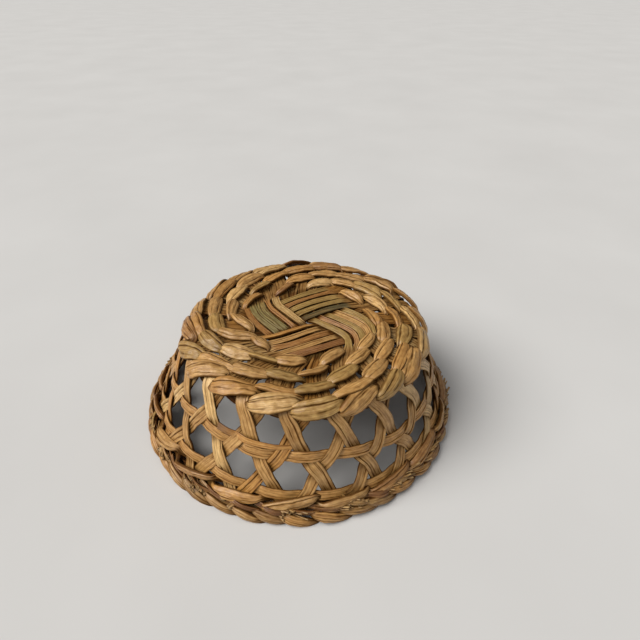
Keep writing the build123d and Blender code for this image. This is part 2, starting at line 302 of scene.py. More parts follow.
def soften(values, sigma, closed=False):
    """Gaussian smoothing along the first axis, sigma in samples."""
    reach = int(4 * sigma) + 1
    kernel = np.exp(-0.5 * (np.arange(-reach, reach + 1) / sigma) ** 2)
    kernel /= kernel.sum()
    if closed:
        padded = np.concatenate([values[-reach:], values, values[:reach]])
    else:
        head = 2 * values[:1] - values[1:reach + 1][::-1]
        tail = 2 * values[-1:] - values[-reach - 1:-1][::-1]
        padded = np.concatenate([head, values, tail])
    flat = padded.reshape(len(padded), -1)
    smooth = np.stack([np.convolve(column, kernel, "valid") for column in flat.T], -1)
    return smooth.reshape(values.shape)


def resample(table, step, sigma, closed=False):
    """The same strip with even stations, smoothed over sigma millimetres."""
    if closed:
        table = np.concatenate([table, table[:1]])
    points = table[:, POINT]
    length = np.concatenate([[0], np.cumsum(np.linalg.norm(np.diff(points, axis=0), axis=1))])
    count = int(round(length[-1] / step))
    places = np.linspace(0, length[-1], count + 1)
    if closed:
        places = places[:-1]
    even = np.stack([np.interp(places, length, column) for column in table.T], -1)
    return soften(even, sigma / step, closed)


class Style:
    """How a leaf's section looks: its edges, creases, ribs, camber, folded side and ridge.

    A larger roundness gives a squarer section. Heights and depths are in millimetres.
    """

    def __init__(self, rng, roundness=4.0, creases=3, depth=0.3, ribs=0.05, camber=0.0, fold=0.0,
                 ridge=0.0):
        self.roundness = roundness
        self.camber = camber
        self.ridge = ridge
        self.ridge_at = rng.uniform(-0.35, 0.35)
        self.ribs = ribs
        self.rib_count = rng.uniform(7, 11)
        self.fold = fold
        self.fold_at = rng.choice([-1, 1]) * rng.uniform(0.35, 0.62)
        self.creases = []
        for number in range(creases):
            middle = -0.75 + 1.5 * (number + rng.uniform(0.2, 0.8)) / creases
            self.creases.append((middle, depth * rng.uniform(0.5, 1.2), rng.uniform(0.05, 0.1)))


class Weave:
    """Collects strips into one mesh with their fibre coordinates and tints."""

    def __init__(self):
        self.points = []
        self.faces = []
        self.fibres = []
        self.tints = []
        self.count = 0

    def add_tube(self, rings, fibre, tint, closed):
        """rings and fibre are stations x ring points x 3, and tint is the same x 4."""
        stations, around = rings.shape[:2]
        base = self.count
        index = base + np.arange(stations * around).reshape(stations, around)
        following = np.roll(index, -1, axis=0) if closed else index[1:]
        current = index if closed else index[:-1]
        quads = np.stack(
            [current, np.roll(current, -1, 1), np.roll(following, -1, 1), following], -1
        ).reshape(-1, 4)
        self.faces.append(quads)
        self.points.append(rings.reshape(-1, 3))
        self.fibres.append(fibre.reshape(-1, 3))
        self.tints.append(tint.reshape(-1, 4))
        self.count += stations * around
        if not closed:
            self.add_cap(index[0], rings[0], fibre[0], tint[0], True)
            self.add_cap(index[-1], rings[-1], fibre[-1], tint[-1], False)

    def add_cap(self, loop, ring, fibre, tint, first):
        """Closes one end of a strip with triangles; a repeated last corner marks a triangle."""
        centre = self.count
        self.points.append(ring.mean(0, keepdims=True))
        self.fibres.append(fibre.mean(0, keepdims=True))
        self.tints.append(tint.mean(0, keepdims=True))
        self.count += 1
        ahead = np.roll(loop, -1)
        start, end = (ahead, loop) if first else (loop, ahead)
        hub = np.full(len(loop), centre)
        self.faces.append(np.stack([start, end, hub, hub], -1))

    def make(self, name, material):
        """The mesh object of all strips added so far."""
        points = np.concatenate(self.points) * MM
        points[:, 2] = np.maximum(points[:, 2], ABOVE_FLOOR * MM)
        faces = np.concatenate(self.faces)
        triangles = faces[:, 2] == faces[:, 3]
        sizes = np.where(triangles, 3, 4)
        keep = np.ones((len(faces), 4), bool)
        keep[triangles, 3] = False
        corners = faces[keep]
        mesh = bpy.data.meshes.new(name)
        mesh.vertices.add(len(points))
        mesh.vertices.foreach_set("co", points.ravel())
        mesh.loops.add(len(corners))
        mesh.loops.foreach_set("vertex_index", corners.ravel())
        mesh.polygons.add(len(faces))
        starts = np.concatenate([[0], np.cumsum(sizes)[:-1]])
        mesh.polygons.foreach_set("loop_start", starts)
        mesh.polygons.foreach_set("use_smooth", np.ones(len(faces), bool))
        mesh.update(calc_edges=True)
        mesh.validate()
        fibre = mesh.attributes.new("fibre", "FLOAT_VECTOR", "POINT")
        fibre.data.foreach_set("vector", np.concatenate(self.fibres).ravel())
        tint = mesh.attributes.new("tint", "FLOAT_COLOR", "POINT")
        tint.data.foreach_set("color", np.concatenate(self.tints).ravel())
        mesh.materials.append(material)
        piece = bpy.data.objects.new(name, mesh)
        bpy.context.scene.collection.objects.link(piece)
        return piece


def add_strip(weave, table, style, rng, closed=False, twist=0.0, ragged=0.05):
    """Adds one leaf or strand to a mesh, along a table of even stations."""
    points = table[:, POINT]
    if closed:
        tangent = np.roll(points, -1, 0) - np.roll(points, 1, 0)
    else:
        tangent = np.gradient(points, axis=0)
    tangent /= np.linalg.norm(tangent, axis=1, keepdims=True)
    normal = table[:, NORMAL]
    normal = normal - (normal * tangent).sum(1, keepdims=True) * tangent
    normal /= np.linalg.norm(normal, axis=1, keepdims=True)
    across = np.cross(tangent, normal)
    steps = np.linalg.norm(np.diff(points, axis=0), axis=1)
    along = np.concatenate([[0], np.cumsum(steps)])
    wave = 36.0 if closed else 60.0
    roll = twist * ring_wave(along, rng, wave, closed)
    turned = normal * np.cos(roll)[:, None] + across * np.sin(roll)[:, None]
    across = across * np.cos(roll)[:, None] - normal * np.sin(roll)[:, None]
    normal = turned
    width = table[:, WIDTH] * (1 + ragged * ring_wave(along, rng, wave / 2, closed))
    thick = table[:, THICKNESS]
    top_v = np.sin(np.linspace(-pi / 2, pi / 2, TOP_POINTS))
    low_v = np.sin(np.linspace(pi / 2, -pi / 2, LOW_POINTS + 2))[1:-1]
    v = np.concatenate([top_v, low_v])  # place across the strip, from -1 to 1
    is_top = np.concatenate([np.ones(TOP_POINTS), np.zeros(LOW_POINTS)])
    edge = (1 - np.abs(v) ** style.roundness) ** (1 / style.roundness)
    height = np.where(is_top > 0, 0.5, -0.5) * edge * thick[:, None]
    height = height + style.camber * (1 - v ** 2) * np.minimum(width / 6, 1.5)[:, None]
    # How much darker each point is: painted shade in creases, beside the fold, on undersides and
    # in deep places, and darker edges
    dark = np.zeros((len(along), len(v)))
    for middle, depth, spread in style.creases:
        place = middle + 0.11 * ring_wave(along, rng, wave, closed)
        groove = np.exp(-((v - place[:, None]) / spread) ** 2) * edge
        fade = np.clip(0.62 + 0.5 * ring_wave(along, rng, wave / 2, closed), 0.1, 1)[:, None]
        limit = np.minimum(depth, 0.32 * thick)[:, None]
        height -= np.where(is_top > 0, 1.0, -0.6) * limit * groove * fade
        # Painted shade in the crease
        dark += groove * fade * min(depth / 0.3, 1)
    if style.fold:
        place = style.fold_at + 0.06 * ring_wave(along, rng, wave, closed)
        side = np.sign(style.fold_at)
        step = 1 / (1 + np.exp(-side * (v - place[:, None]) / 0.035))
        height += is_top * style.fold * step * edge
        # Painted shade beside the raised fold
        dark += 0.9 * np.exp(-((v - place[:, None] + side * 0.05) / 0.06) ** 2)
    if style.ridge:
        place = (style.ridge_at + 0.4 * ring_wave(along, rng, wave / 2, closed))[:, None]
        slope = np.where(v > place, (1 - v) / (1 - place), (1 + v) / (1 + place))
        height += is_top * style.ridge * (slope - 0.5) * np.minimum(width / 8, 1.2)[:, None]
    # Painted shade on undersides and in deep places. Edges are darker too, partly the leaf's own
    # darker edge and partly painted shade between strips
    dark += 0.75 * np.clip((np.abs(v) - 0.86) / 0.12, 0, 1) + 0.45 * (1 - is_top)
    dark += np.clip(-table[:, DEPTH] / 2.2, 0, 0.72)[:, None]
    phase = 2.5 * ring_wave(along, rng, wave, closed)
    height += is_top * style.ribs * edge * np.sin(style.rib_count * pi * v + phase[:, None])
    rings = points[:, None] + across[:, None] * (v * width[:, None] / 2)[..., None]
    rings = rings + normal[:, None] * height[..., None]
    seed = rng.uniform(0, 500)
    fibre = np.empty(rings.shape)
    fibre[..., 0] = along[:, None]
    fibre[..., 1] = v * table[:, WIDTH].mean() / 2 + np.where(is_top > 0, 0, 40)
    fibre[..., 2] = seed
    tint = np.empty(rings.shape[:2] + (4,))
    tint[..., :3] = table[:, None, TINT]
    # The alpha carries the painted shade and the darker edges
    tint[..., 3] = np.clip(dark, 0, 1)
    weave.add_tube(rings, fibre, tint, closed)


def table_of(points, normals, width, thick, tint, depth=0.0):
    """The table of stations that a strip follows."""
    table = np.empty((len(points), COLUMN_COUNT))
    table[:, POINT] = points
    table[:, NORMAL] = normals
    table[:, WIDTH] = width
    table[:, THICKNESS] = thick
    table[:, TINT] = tint
    table[:, DEPTH] = depth
    return table


# ---------------------------------------------------------------- long leaves

def end_lean(number):
    """Odd ends go one way round the wall and even ends the other way."""
    return 1 if number % 2 else -1


def end_angle(number, s):
    """The direction of an end on the wall."""
    return FIRST_END + END_STEP * number + end_lean(number) * WALL_TURN * (1 - s)


def pair_angle(number):
    """The direction midway between the two ends of a pair."""
    return FIRST_END + END_STEP * (number - number % 2 + 0.5)


def end_run(number, tint, rng):
    """One end's run from the woven centre, through the rows, over the edge and down the wall."""
    path = np.arange(LEAVING_CENTRE, path_at(ROLL_S), STATION_STEP)
    s = wall_s(path)
    radius = np.minimum(path, CROWN_SIDE_END)
    aside = np.degrees(np.interp(path, *PAIR_SPACING) / radius)
    in_crown = pair_angle(number) + end_lean(number) * aside
    in_wall = end_angle(number, s)
    share = ramp(path, CROWN_SIDE_END, CROWN_SIDE_END + 10)
    angle = in_crown * (1 - share) + in_wall * share
    stops = [(1.0, 0.0)]  # s and distance outwards
    for level in range(1, LEVEL_COUNT + 1):
        out = OVER * end_lean(number) * (1 if level % 2 else -1)
        middle = 1 - LEVEL_STEP * level
        stops += [(middle + CROSSING_HALF, out), (middle - CROSSING_HALF, out)]
    stops.append((0.05, -1.6))  # tucked in behind the rolled rim
    stops.reverse()
    out = np.interp(s, *zip(*stops))
    width = np.interp(path, *LEAF_WIDTHS) * rng.uniform(0.92, 1.1)
    points, normals = surface(angle, path, out)
    shade = linear(tint) * rng.uniform(0.88, 1.08)
    # In shade under the crown's rows, and where it goes under another leaf
    depth = np.where(path < 86, -1.0, np.minimum(out, 0) * 1.6)
    return table_of(points, normals, width, LEAF_T, shade, depth)


def centre_run(heading, index, tint, width, rng):
    """The run across the woven centre: over one bundle and under the other, bowed a little."""
    rank = index - LEAVES_PER_WAY / 2 + 0.5
    offset = rank * BUNDLE_PITCH + (BUNDLE_GAP if rank > 0 else -BUNDLE_GAP)
    along = np.arange(-CENTRE_REACH, CENTRE_REACH + 0.1, STATION_STEP)
    is_over = along * offset > 0
    arch = np.sin(pi * np.clip(np.abs(along) / CENTRE_REACH, 0, 1))
    out = np.where(is_over, OVER + 0.8 * arch, -OVER) * np.clip(np.abs(along) / BUNDLE_GAP, 0, 1)
    out = out + rng.uniform(-0.4, 0.4)
    aside = offset + rng.uniform(-0.5, 0.5) + rng.uniform(-0.03, 0.03) * along
    aside = aside + np.sign(offset) * rng.uniform(-0.3, 1.0) * arch
    ahead = toward(heading)
    left = np.array([-ahead[1], ahead[0]])
    flat = along[:, None] * ahead + aside[:, None] * left
    points = np.column_stack([flat[:, 0] + CROWN_LEAN, flat[:, 1], CROWN_Z + out])
    tilt = radians(rng.uniform(-17, 17))
    normal = np.array([left[0] * sin(tilt), left[1] * sin(tilt), cos(tilt)])
    normals = np.tile(normal, (len(points), 1))
    width = np.where(is_over, width, CENTRE_UNDER_WIDTH)
    # Painted shade where it runs under the other bundle
    depth = np.where(is_over, 0, -3.0)
    return table_of(points, normals, width, CENTRE_LEAF_T, linear(tint), depth)


def long_leaf(name, node, heading, index, centre_look, material):
    """One leaf from rim to rim: up the wall, across the woven centre and down the other side."""
    rng = np.random.default_rng(1000 + heading * 10 + index)
    quarter = heading - 45 + FIRST_END
    spread = END_STEP * (LEAVES_PER_WAY - 1)
    front = round((quarter + END_STEP * index - FIRST_END) / END_STEP)
    back = round((quarter + 180 + spread - END_STEP * index - FIRST_END) / END_STEP)
    wall_tints = [TAN, TAN, GOLD, PALE]
    back_run = end_run(back, wall_tints[rng.integers(4)], rng)[::-1]
    front_run = end_run(front, wall_tints[rng.integers(4)], rng)
    tint, width = centre_look
    whole = np.concatenate([back_run, centre_run(heading, index, tint, width, rng), front_run])
    whole[:, POINT] = skew_centre(whole[:, POINT])
    table = resample(whole, STATION_STEP, 1.8)
    style = Style(rng, roundness=5, creases=int(rng.integers(2, 4)), depth=0.27, ribs=0.04,
                  camber=rng.uniform(-0.25, 0.35), fold=rng.choice([0.0, 0.32, 0.4]))
    weave = Weave()
    add_strip(weave, table, style, rng, twist=0.10, ragged=0.07)
    piece = weave.make(name, material)
    attach(piece, "long_leaf", node)


def attach(piece, slot, *nodes):
    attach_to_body(piece, "root")
    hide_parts(*nodes)


# ---------------------------------------------------------------- woven and twined rows

# How often each tint comes up among a row's turns
ROW_TINTS = {TAN: 5, GOLD: 2.5, PALE: 2, OLIVE: 2.5, BROWN: 1}
EDGE_TINTS = {TAN: 5, GOLD: 3, PALE: 1.5, OLIVE: 3, BROWN: 0.8}
RIM_TINTS = {TAN: 4, GOLD: 2, BROWN: 2.6, ROSE: 1.2, OLIVE: 2.0}

# A strand's visible turn: place from -1 to 1, share of the width, lift. It is broad and raised
# in the middle and dips at both ends, where it goes under its neighbours.
LENS = [(-1.0, 0.56, -1.9), (-0.88, 0.76, -0.3), (-0.55, 0.96, 0.5), (-0.15, 1.02, 0.45),
        (0.25, 0.98, 0.25), (0.62, 0.84, -0.1), (0.88, 0.64, -0.8), (1.0, 0.48, -2.1)]


def over_and_under(frame_at, phase, width, thick, reaches, lifts, slant, tints, rng, rough=1.0):
    """Stations of a strand over one pair of leaves and under the next, all the way round.

    frame_at gives points and normals for a turn in degrees, a distance aside and one outwards.
    reaches, in pair steps, and lifts are for the parts over a pair and under one. The strand
    slants inwards over a pair and back under the next, and rough makes its turns uneven.
    """
    reaches = [share * PAIR_STEP for share in reaches]
    rows = []
    for number in range(PAIR_COUNT):
        is_over = (number + phase) % 2 == 0
        reach, next_reach = reaches if is_over else reaches[::-1]
        middle = PAIR_STEP * number
        if is_over:
            full = width * (1 + rough * rng.uniform(-0.13, 0.08))
            drift = rough * rng.uniform(-0.6, 0.6)
            raised = lifts[0] + rough * rng.uniform(-0.15, 0.4)
            steep = 1 + 1.2 * bump_at(middle, 200, 34)  # the turns at the left slant more
            swing = (1 + rough * rng.uniform(-0.35, 0.35)) * slant * steep
            skew = rng.uniform(-0.18, 0.18)  # the turn's broadest part lies off its middle
            length = rng.uniform(0.86, 1.04) * reach
            lean = rough * rng.uniform(-0.32, 0.32)
            taper = 1.0 + 1.6 * skew  # and its ends narrow more, or less
            for part, share, lift in LENS:
                share = 1.04 - taper * (1.04 - share)
                angle = middle + (part + skew * (1 - part * part)) * length
                aside = drift - part * swing
                rows.append((angle, aside, raised + lift, full * share, number, lean))
        else:
            for part in (-1.0, 0.0, 1.0):
                row = (middle + part * reach, part * slant, -lifts[1], 0.94 * width, number, 0.0)
                rows.append(row)
        gap = (reach + PAIR_STEP - next_reach) / 2
        aside = -slant if is_over else slant
        rows.append((middle + gap, aside, -1.3, 0.88 * width, number, 0.0))
    angle, aside, out, widths, numbers, leans = np.array(rows).T
    points, normals = frame_at(angle, aside, out)
    beside, _ = frame_at(angle, aside + 1, out)
    normals = normals + (beside - points) * leans[:, None]
    tint = np.array([tints[int(number)] for number in numbers])
    # The depth column paints shade where the strand sinks below its turns' tops: at their ends, in
    # the gaps and under pairs
    return table_of(points, normals, widths, thick, tint, out - 0.55 * lifts[0])


def strand_tints(rng, weights):
    """A tint for each pair that a strand passes."""
    palette = list(weights)
    chances = np.array([weights[tint] for tint in palette], float)
    picks = rng.choice(len(palette), PAIR_COUNT, p=chances / chances.sum())
    tints = [0.65 * linear(palette[pick]) + 0.35 * linear(TAN) for pick in picks]
    return [tint * rng.uniform(0.85, 1.1) for tint in tints]


def strand_piece(name, node, slot, table, material, rng):
    """The piece of one closed strand, from its stations."""
    table = resample(table, STATION_STEP, 0.95, closed=True)
    style = Style(rng, roundness=4.2, creases=2, depth=0.26, ribs=0.06, fold=0.45, ridge=1.3)
    weave = Weave()
    add_strip(weave, table, style, rng, closed=True, twist=0.16, ragged=0.04)
    piece = weave.make(name, material)
    attach(piece, slot, node)


def woven_row(row_number, material):
    """A crown row of one strand; each row starts one pair on from the row inside it."""
    path, width, drawn_in = WOVEN_ROWS[row_number]
    rng = np.random.default_rng(2000 + 10 * row_number)

    def frame_at(turn, aside, out):
        angle = pair_angle(0) + turn
        inwards = drawn_in * bump_at(angle, DRAWN_IN_DIRECTION, 26)
        return surface(angle, path + aside - inwards, out)

    table = over_and_under(frame_at, row_number, width, thick=2.7, reaches=(0.63, 0.25),
                           lifts=(2.4, 2.4), slant=2.3, tints=strand_tints(rng, ROW_TINTS),
                           rng=rng, rough=1.5)
    name = f"crown_row_{row_number + 1}"
    strand_piece(f"woven_{name}", name, "crown_strand", table, material, rng)


def edge_row(phase, letter, material):
    """The twined row that turns the weave over the crown's edge."""
    path, width = EDGE_ROW
    rng = np.random.default_rng(2510 + phase)

    def frame_at(turn, aside, out):
        return surface(pair_angle(0) + turn, path + aside, out)

    table = over_and_under(frame_at, phase, width, thick=2.9, reaches=(0.58, 0.34),
                           lifts=(2.2, 4.0), slant=3.0, tints=strand_tints(rng, EDGE_TINTS),
                           rng=rng, rough=0.8)
    node = f"edge_row_strand_{letter}"
    strand_piece(f"edge_strand_{letter}", node, "crown_strand", table, material, rng)


def rim_row(phase, letter, material):
    """The twined row that gathers the leaf ends above the rolled rim."""
    rng = np.random.default_rng(2600 + phase)
    crossing = end_angle(1, 1 - LEVEL_STEP * LEVEL_COUNT)

    def frame_at(turn, aside, out):
        return surface(crossing + turn, path_at(RIM_ROW_S) + aside, out)

    table = over_and_under(frame_at, phase, RIM_ROW_WIDTH, thick=2.8, reaches=(0.46, 0.34),
                           lifts=(3.0, 2.8), slant=2.8, tints=strand_tints(rng, RIM_TINTS),
                           rng=rng, rough=2.0)
    node = f"rim_row_strand_{letter}"
    strand_piece(f"rim_strand_{letter}", node, "rim_strand", table, material, rng)


# ---------------------------------------------------------------- wall hoops

def hoop(name, node, level, width, spliced, material):
    """A flat hoop through the wall between two levels of crossings, over and under by turns."""
    rng = np.random.default_rng(3000 + level)
    s = 1 - LEVEL_STEP * level
    middle_r = WALL_FOOT_R + (WALL_TOP_R - WALL_FOOT_R) * s
    half_angle = np.degrees(CROSSING_HALF * WALL_LENGTH * 1.2 / middle_r)
    angles = []
    outs = []
    for number in range(END_COUNT):
        out = OVER if number % 2 == 0 else -OVER
        middle = end_angle(1, s) + END_STEP * number
        angles += [middle - half_angle, middle, middle + half_angle]
        outs += [out] * 3
    fine = np.linspace(angles[0], angles[0] + 360, 721)[:-1]
    out = np.interp(fine, angles + [angles[0] + 360], outs + [outs[0]])
    points, normals = surface(fine, np.full_like(fine, path_at(s)), out)
    tint = linear(GOLD) * 0.5 + linear(TAN) * 0.5
    table = table_of(points, normals, width, LEAF_T, tint)
    table = resample(table, STATION_STEP, 1.5, closed=True)
    style = Style(rng, roundness=5, creases=3, depth=0.25, ribs=0.04, camber=0.15, fold=0.3)
    weave = Weave()
    add_strip(weave, table, style, rng, closed=True, twist=0.06, ragged=0.06)
    if spliced:
        add_doubling(weave, s, rng)
    piece = weave.make(name, material)
    attach(piece, "wall_hoop", node)


def add_doubling(weave, s, rng):
    """The upper hoop's spliced end: a narrow second strip that lies along its upper edge."""
    angle = np.linspace(238, 268, 60)
    out = np.interp(angle, [238, 243, 246, 250, 262, 268], [1.5, 1.5, -0.1, 1.9, 1.9, 0.4])
    points, normals = surface(angle, np.full_like(angle, path_at(s + 0.074)), out)
    width = np.interp(angle, [238, 241, 262, 268], [5.4, 5.0, 3.6, 2.4])
    share = ramp(angle, 241, 246)[:, None]
    tint = linear(ROSE) * 0.6 * (1 - share) + linear(GOLD) * share
    table = resample(table_of(points, normals, width, 0.9, tint), STATION_STEP, 1.2)
    style = Style(rng, roundness=4, creases=2, depth=0.25)
    add_strip(weave, table, style, rng)


# ---------------------------------------------------------------- rolled rim and tips

# A turn of the rolled rim: place from -1 to 1, share of the width, lift
RIM_TURN = [(-1.0, 0.36, -0.9), (-0.75, 0.72, 0.1), (-0.35, 0.98, 0.6), (0.05, 1.0, 0.55),
            (0.45, 0.86, 0.1), (0.8, 0.56, -0.6), (1.0, 0.30, -1.2)]


def rolled_rim(material):
    """Forty leaf ends, each starting high and sliding down under the next one."""
    rng = np.random.default_rng(4000)
    weave = Weave()
    part, share, lift = np.array(RIM_TURN).T
    tints = [TAN, GOLD, BROWN, OLIVE, RUST]
    for number in range(END_COUNT):
        centre = FIRST_END + END_STEP * number + rng.uniform(-1.2, 1.2)
        angle = centre + rng.uniform(6.2, 8.0) * part
        slide = 0.9 - rng.uniform(2.6, 3.8) * part + rng.uniform(-0.6, 0.6)
        out = 3.3 + 1.9 * lift + rng.uniform(-0.5, 0.5)
        points, normals = surface(angle, path_at(ROLL_S) - slide, out, even=True)
        tint = linear(tints[rng.choice(5, p=[0.42, 0.34, 0.12, 0.06, 0.06])])
        tint = (0.65 * tint + 0.35 * linear(TAN)) * rng.uniform(0.68, 1.0)
        width = 7.8 * rng.uniform(0.78, 1.10) * share
        thick = 4.2 * share ** 0.5
        # Painted shade that deepens as a turn dips towards its ends, under its neighbours
        depth = 1.3 * (lift - 0.5)
        table = resample(table_of(points, normals, width, thick, tint, depth), 0.7, 0.9)
        style = Style(rng, roundness=2.4, creases=3, depth=0.45, ribs=0.08, ridge=0.8)
        add_strip(weave, table, style, rng, twist=0.4, ragged=0.08)
    piece = weave.make("rolled_rim", material)
    attach(piece, "rolled_rim", "rolled_rim_ends")


def folded_ends(material):
    """The leaf ends bent sideways behind, between and over the rim row and the rolled rim."""
    rng = np.random.default_rng(4200)
    weave = Weave()
    part = np.linspace(0, 1, 40)
    tints = [BROWN, TAN, RUST, OLIVE, GOLD, PALE]
    for number in range(END_COUNT):
        start = FIRST_END + END_STEP * number + rng.uniform(-2, 2)
        # Each one: direction, s, distance outwards, width
        behind = (start + 30 * part, 0.16 - 0.06 * part + 0.012 * np.sin(2 * pi * part + number),
                  -1.8 - 1.4 * np.sin(pi * part), 5.4)
        between = (start + 17 * part, 0.175 - 0.085 * part + rng.uniform(-0.01, 0.01),
                   0.6 + 2.4 * np.sin(pi * part) + rng.uniform(-0.3, 0.3), rng.uniform(3.2, 4.8))
        turned = rng.uniform(7, 13) * part
        over = (start + 4 + turned, rng.uniform(0.145, 0.185) - rng.uniform(0.03, 0.07) * part,
                2.8 + rng.uniform(1.6, 3.0) * np.sin(pi * part), rng.uniform(2.6, 4.6))
        for angle, level, out, width in (behind, between, over):
            points, normals = surface(angle, path_at(level), out, even=True)
            width = width * np.sin(pi * (0.14 + 0.74 * part)) ** 0.7
            tint = linear(tints[rng.choice(6, p=[0.30, 0.26, 0.1, 0.14, 0.12, 0.08])]) * 0.78
            table = resample(table_of(points, normals, width, 1.5, tint), STATION_STEP, 1.0)
            style = Style(rng, roundness=3.0, creases=3, depth=0.35)
            add_strip(weave, table, style, rng, twist=0.6, ragged=0.12)
    piece = weave.make("folded_leaf_ends", material)
    attach(piece, "folded_ends", "folded_ends_band")


def trimmed_tips(material):
    """Cut leaf ends that stand out between the rim row and the rolled rim."""
    rng = np.random.default_rng(4100)
    weave = Weave()
    crossing = end_angle(1, 1 - LEVEL_STEP * LEVEL_COUNT)
    clusters = [(TUFT_DIRECTION, 8, 2.4)]  # direction, number of tips, how much further out
    for number in range(END_COUNT):
        centre = crossing + PAIR_STEP * (number // 2) + (2.4 if number % 2 else -2.4)
        clusters.append((centre, 9 if rng.random() < 0.5 else 2, 0.0))
    for centre, count, further in clusters:
        is_frayed = count > 2
        for _ in range(count):
            reach = further + (rng.uniform(3.2, 5.4) if is_frayed else rng.uniform(2.6, 4.8))
            width = rng.uniform(0.6, 1.5) if is_frayed else rng.uniform(2.0, 4.4)
            sideways = rng.uniform(1.5, 7.5) if is_frayed else rng.uniform(-2, 2)
            part = np.linspace(0, 1, 14)
            angle = centre + rng.uniform(-3.0, 3.0) + part * sideways
            out = 1.8 + part * reach
            path = path_at(0.138) + rng.uniform(-2.4, 2.0) + part * rng.uniform(-1.2, 2.6)
            points, _ = surface(angle, path, out, even=True)
            upward = np.tile((0.0, 0.0, 1.0), (len(points), 1))
            end_tint = linear(PALE) * rng.uniform(0.5, 0.85)
            tint = linear(BROWN) * (1 - part[:, None]) + end_tint * part[:, None]
            thick = min(0.8 * width, rng.uniform(1.0, 1.8))
            table = resample(table_of(points, upward, width, thick, tint), STATION_STEP, 0.6)
            style = Style(rng, roundness=2.6, creases=2, depth=0.3)
            add_strip(weave, table, style, rng, twist=0.6, ragged=0.15)
    piece = weave.make("trimmed_leaf_tips", material)
    attach(piece, "cut_tip", "trimmed_tips")


# ---------------------------------------------------------------- material

def rush_material(name, roughness, relief):
    """Dried rush leaf: a tint with streaks along the fibres, mottling and specks, with painted
    shade and darker edges from the tint's alpha.
    """
    material = bpy.data.materials.new(name)
    material.use_nodes = True
    tree = material.node_tree
    nodes = tree.nodes
    links = tree.links
    nodes.clear()
    output = nodes.new("ShaderNodeOutputMaterial")
    shader = nodes.new("ShaderNodeBsdfPrincipled")
    links.new(shader.outputs["BSDF"], output.inputs["Surface"])
    fibre = nodes.new("ShaderNodeAttribute")
    fibre.attribute_name = "fibre"
    tint = nodes.new("ShaderNodeAttribute")
    tint.attribute_name = "tint"

    def scaled(factor):
        node = nodes.new("ShaderNodeVectorMath")
        node.operation = "MULTIPLY"
        node.inputs[1].default_value = factor
        links.new(fibre.outputs["Vector"], node.inputs[0])
        return node.outputs[0]

    def noise(factor, detail, rough=0.5):
        node = nodes.new("ShaderNodeTexNoise")
        node.inputs["Scale"].default_value = 1.0
        node.inputs["Detail"].default_value = detail
        node.inputs["Roughness"].default_value = rough
        links.new(scaled(factor), node.inputs["Vector"])
        return node.outputs["Fac"]

    def remap(value, low, high, to_low, to_high):
        node = nodes.new("ShaderNodeMapRange")
        node.inputs["From Min"].default_value = low
        node.inputs["From Max"].default_value = high
        node.inputs["To Min"].default_value = to_low
        node.inputs["To Max"].default_value = to_high
        links.new(value, node.inputs["Value"])
        return node.outputs["Result"]

    def times(first, second):
        node = nodes.new("ShaderNodeMath")
        node.operation = "MULTIPLY"
        links.new(first, node.inputs[0])
        links.new(second, node.inputs[1])
        return node.outputs[0]

    def mix(kind, factor, first, second):
        node = nodes.new("ShaderNodeMix")
        node.data_type = "RGBA"
        node.blend_type = kind
        if isinstance(factor, float):
            node.inputs[0].default_value = factor
        else:
            links.new(factor, node.inputs[0])
        # Sockets 6 and 7 are the node's two colours, and its output 2 is the mixed one
        for socket, value in ((node.inputs[6], first), (node.inputs[7], second)):
            if isinstance(value, tuple):
                socket.default_value = value
            else:
                links.new(value, socket)
        return node.outputs[2]

    streak = noise((0.035, 2.6, 1.0), 3.0, 0.6)
    broad = noise((0.045, 0.35, 1.0), 2.0)
    mottle = noise((0.25, 0.6, 1.0), 3.0)
    speck = noise((1.1, 2.0, 1.0), 2.0)
    colour = tint.outputs["Color"]
    golden = (0.46, 0.235, 0.055, 1.0)
    straw = (0.72, 0.46, 0.18, 1.0)
    dark_brown = (0.07, 0.032, 0.010, 1.0)
    # Colour of the painted shade and of the darker edges
    painted_shade_and_edge_brown = (0.040, 0.010, 0.001, 1.0)
    colour = mix("MIX", remap(broad, 0.50, 0.75, 0.0, 0.35), colour, golden)
    colour = mix("MIX", remap(streak, 0.54, 0.80, 0.0, 0.45), colour, straw)
    # Shading darkens blue most and red least, as it does in dried leaf
    shade = times(remap(streak, 0.32, 0.60, 0.62, 1.09), remap(mottle, 0.3, 0.7, 0.72, 1.15))
    filtered = nodes.new("ShaderNodeCombineColor")
    for socket, exponent in zip(filtered.inputs, (0.95, 1.25, 1.75)):
        power = nodes.new("ShaderNodeMath")
        power.operation = "POWER"
        power.inputs[1].default_value = exponent
        links.new(shade, power.inputs[0])
        links.new(power.outputs[0], socket)
    colour = mix("MULTIPLY", 1.0, colour, filtered.outputs[0])
    colour = mix("MIX", remap(speck, 0.70, 0.76, 0.0, 0.55), colour, dark_brown)
    # Painted shade from the tint's alpha, with the darker edges; the same mask lowers the specular
    # level below
    painted_shade_and_edges = remap(tint.outputs["Alpha"], 0.05, 0.9, 0.0, 0.93)
    colour = mix("MIX", painted_shade_and_edges, colour, painted_shade_and_edge_brown)
    links.new(colour, shader.inputs["Base Color"])
    gloss = remap(streak, 0.3, 0.7, roughness + 0.12, roughness - 0.10)
    sheen = remap(tint.outputs["Alpha"], 0.0, 0.7, 0.62, 0.05)
    links.new(gloss, shader.inputs["Roughness"])
    links.new(sheen, shader.inputs["Specular IOR Level"])
    grain = nodes.new("ShaderNodeBump")
    grain.inputs["Strength"].default_value = relief
    grain.inputs["Distance"].default_value = 0.34 * MM
    links.new(streak, grain.inputs["Height"])
    links.new(grain.outputs["Normal"], shader.inputs["Normal"])
    return material


